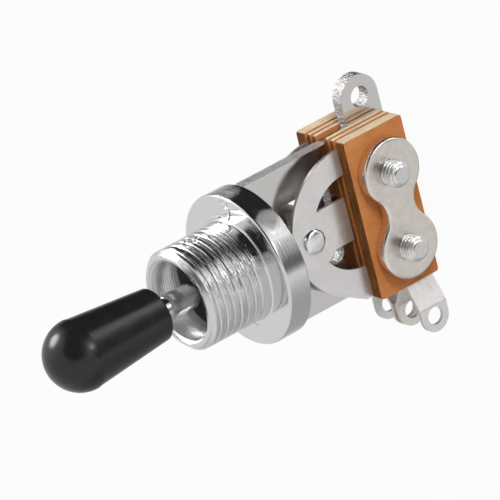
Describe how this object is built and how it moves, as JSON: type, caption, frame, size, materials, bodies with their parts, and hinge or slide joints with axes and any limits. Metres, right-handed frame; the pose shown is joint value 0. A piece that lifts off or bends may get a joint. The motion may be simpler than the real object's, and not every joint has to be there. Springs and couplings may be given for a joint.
{
  "type": "guitar pickup selector switch",
  "caption": "Open-frame toggle switch with a threaded bushing, a black-tipped lever and a clamped stack of spring leaves and wafers.",
  "frame": {"origin": "on the bushing's axis, in the front face of its flange, which seats against the panel", "axes": "+Z along the bushing towards the lever's tip, +Y towards the ground lug, the lever swings in the XZ plane"},
  "size_m": [0.0181, 0.0312, 0.0501],
  "materials": {
    "bushing_chrome": "bright chrome plate",
    "frame_nickel": "bright nickel plate on punched steel",
    "leaf_nickel": "satin nickel-silver spring sheet",
    "contact_silver": "silver contact rivet",
    "clamp_nickel": "tumbled nickel plate",
    "screw_zinc": "zinc plate",
    "lever_chrome": "bright nickel plate",
    "pin_steel": "plain steel",
    "phenolic": "paper phenolic, pale fibrous cut edges",
    "sleeve_phenolic": "phenolic tube",
    "tip_black": "semi-gloss moulded plastic"
  },
  "bodies": {
    "frame": {"bushing": "bushing_chrome", "frame_plate": "frame_nickel", "pivot_pin": "pin_steel", "clamp_plate": "clamp_nickel", "moving_leaf_near": "leaf_nickel", "fixed_leaf_near": "leaf_nickel", "moving_contact_near": "contact_silver", "fixed_contact_near": "contact_silver", "wafer_near_1": "phenolic", "wafer_near_2": "phenolic", "wafer_near_3": "phenolic", "wafer_near_4": "phenolic", "moving_leaf_far": "leaf_nickel", "fixed_leaf_far": "leaf_nickel", "moving_contact_far": "contact_silver", "fixed_contact_far": "contact_silver", "wafer_far_1": "phenolic", "wafer_far_2": "phenolic", "wafer_far_3": "phenolic", "wafer_far_4": "phenolic", "insulating_sleeve_top": "sleeve_phenolic", "clamp_screw_top": "screw_zinc", "insulating_sleeve_bottom": "sleeve_phenolic", "clamp_screw_bottom": "screw_zinc"},
    "lever": {"lever": "lever_chrome", "lever_tip": "tip_black"}
  },
  "joints": [
    {"name": "lever_toggle", "type": "hinge", "parent": "frame", "child": "lever", "pos_m": [0, 0, -0.00205], "axis": [0, 1, 0], "range_deg": [-13, 13]}
  ]
}
